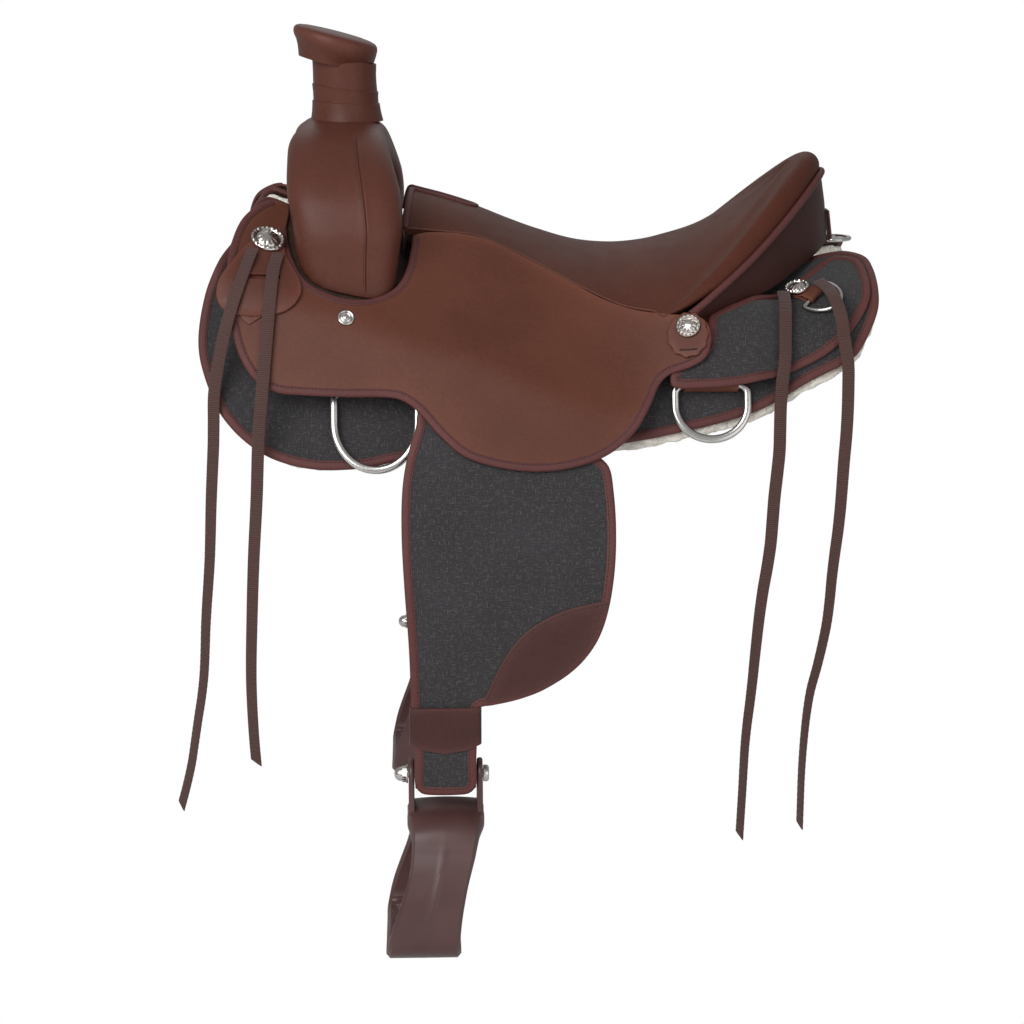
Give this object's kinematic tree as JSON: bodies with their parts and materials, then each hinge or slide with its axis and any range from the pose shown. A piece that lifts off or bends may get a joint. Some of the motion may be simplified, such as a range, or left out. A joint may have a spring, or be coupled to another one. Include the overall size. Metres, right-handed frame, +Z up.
{
  "type": "mule saddle",
  "caption": "Western mule saddle with swell fork, wrapped horn, padded seat, cloth skirts on fleece, flat-plate rigging rings, swinging fenders and stirrups.",
  "frame": {"origin": "where the saddle rests on the back: on the spine's line at mid length, at the height where the slopes of the bars would meet", "axes": "+X towards the tail, -X towards the horn and neck, -Y the near (left) side, +Z up"},
  "size_m": [0.6867, 0.6948, 0.8571],
  "materials": {
    "tree_wood": "plain wood under rawhide, matte",
    "brown_leather": "dark oiled saddle leather, soft sheen, bound and stitched edges",
    "charcoal_cloth": "woven charcoal cloth with light flecks, bound in brown",
    "fleece_wool": "off-white curled fleece",
    "stainless_steel": "polished stainless",
    "engraved_silver": "silver-plated with a darkened relief",
    "stirrup_plastic": "moulded mauve-brown plastic, satin",
    "string_webbing": "ribbed brown nylon webbing"
  },
  "bodies": {
    "saddle": {"tree_bar_near": "tree_wood", "tree_bar_off": "tree_wood", "tree_fork": "tree_wood", "tree_horn": "tree_wood", "tree_cantle": "tree_wood", "ground_seat": "brown_leather", "seat_pad": "brown_leather", "seat_jockey_near": "brown_leather", "seat_jockey_off": "brown_leather", "fork_cover": "brown_leather", "horn_wrap": "brown_leather", "horn_cap_cover": "brown_leather", "cantle_back": "brown_leather", "cantle_roll": "brown_leather", "skirt_near": "charcoal_cloth", "skirt_off": "charcoal_cloth", "rear_jockey_near": "charcoal_cloth", "rear_jockey_off": "charcoal_cloth", "fleece_near": "fleece_wool", "fleece_off": "fleece_wool", "front_rigging_leather_near": "brown_leather", "front_rigging_leather_off": "brown_leather", "rear_rigging_leather_near": "brown_leather", "rear_rigging_leather_off": "brown_leather", "latigo_keeper_near": "brown_leather", "latigo_keeper_off": "brown_leather", "front_concho_near": "engraved_silver", "front_concho_off": "engraved_silver", "seat_rosette_near": "brown_leather", "seat_rosette_off": "brown_leather", "seat_concho_near": "engraved_silver", "seat_concho_off": "engraved_silver", "rear_concho_near": "engraved_silver", "rear_concho_off": "engraved_silver", "jockey_screw_near": "stainless_steel", "jockey_screw_off": "stainless_steel", "dee_tab_near": "brown_leather", "dee_tab_off": "brown_leather", "crupper_tab": "brown_leather", "front_string_a": "string_webbing", "front_string_b": "string_webbing", "rear_string_a": "string_webbing", "rear_string_b": "string_webbing"},
    "front_dee_near": {"front_dee_near": "stainless_steel"},
    "front_dee_off": {"front_dee_off": "stainless_steel"},
    "rear_dee_near": {"rear_dee_near": "stainless_steel"},
    "rear_dee_off": {"rear_dee_off": "stainless_steel"},
    "saddlebag_dee_near": {"saddlebag_dee_near": "stainless_steel"},
    "saddlebag_dee_off": {"saddlebag_dee_off": "stainless_steel"},
    "crupper_dee": {"crupper_dee": "stainless_steel"},
    "fender_near": {"fender_near": "charcoal_cloth", "stirrup_leather_near": "brown_leather", "hobble_strap_near": "brown_leather", "stirrup_bolt_near": "stainless_steel"},
    "fender_off": {"fender_off": "charcoal_cloth", "stirrup_leather_off": "brown_leather", "hobble_strap_off": "brown_leather", "stirrup_bolt_off": "stainless_steel"},
    "stirrup_near": {"stirrup_near": "stirrup_plastic"},
    "stirrup_off": {"stirrup_off": "stirrup_plastic"}
  },
  "joints": [
    {"name": "fender_swing_near", "type": "hinge", "parent": "saddle", "child": "fender_near", "pos_m": [-0.075, -0.21642, -0.02062], "axis": [0, -0.9272, 0.3746], "range_deg": [-18, 18]},
    {"name": "fender_swing_off", "type": "hinge", "parent": "saddle", "child": "fender_off", "pos_m": [-0.075, 0.21642, -0.02062], "axis": [0, -0.9272, -0.3746], "range_deg": [-18, 18]},
    {"name": "stirrup_swing_near", "type": "hinge", "parent": "fender_near", "child": "stirrup_near", "pos_m": [-0.098, -0.27393, -0.37722], "axis": [-1, 0, 0], "range_deg": [-45, 80]},
    {"name": "stirrup_swing_off", "type": "hinge", "parent": "fender_off", "child": "stirrup_off", "pos_m": [-0.098, 0.27393, -0.37722], "axis": [1, 0, 0], "range_deg": [-45, 80]},
    {"name": "front_dee_lift_near", "type": "hinge", "parent": "saddle", "child": "front_dee_near", "pos_m": [-0.1615, -0.1972, -0.01976], "axis": [-1, 0, 0], "range_deg": [0, 7]},
    {"name": "front_dee_lift_off", "type": "hinge", "parent": "saddle", "child": "front_dee_off", "pos_m": [-0.1615, 0.1972, -0.01976], "axis": [1, 0, 0], "range_deg": [0, 7]},
    {"name": "rear_dee_lift_near", "type": "hinge", "parent": "saddle", "child": "rear_dee_near", "pos_m": [0.1585, -0.19588, -0.01652], "axis": [-1, 0, 0], "range_deg": [0, 35]},
    {"name": "rear_dee_lift_off", "type": "hinge", "parent": "saddle", "child": "rear_dee_off", "pos_m": [0.1585, 0.19588, -0.01652], "axis": [1, 0, 0], "range_deg": [0, 35]},
    {"name": "saddlebag_dee_lift_near", "type": "hinge", "parent": "saddle", "child": "saddlebag_dee_near", "pos_m": [0.265, -0.13598, 0.06087], "axis": [-0.6471, -0.4579, -0.6096], "range_deg": [0, 18]},
    {"name": "saddlebag_dee_lift_off", "type": "hinge", "parent": "saddle", "child": "saddlebag_dee_off", "pos_m": [0.265, 0.13598, 0.06087], "axis": [0.6471, -0.4579, 0.6096], "range_deg": [0, 120]},
    {"name": "crupper_dee_drop", "type": "hinge", "parent": "saddle", "child": "crupper_dee", "pos_m": [0.29563, 0, 0.09977], "axis": [0, 1, 0], "range_deg": [0, 80]}
  ]
}
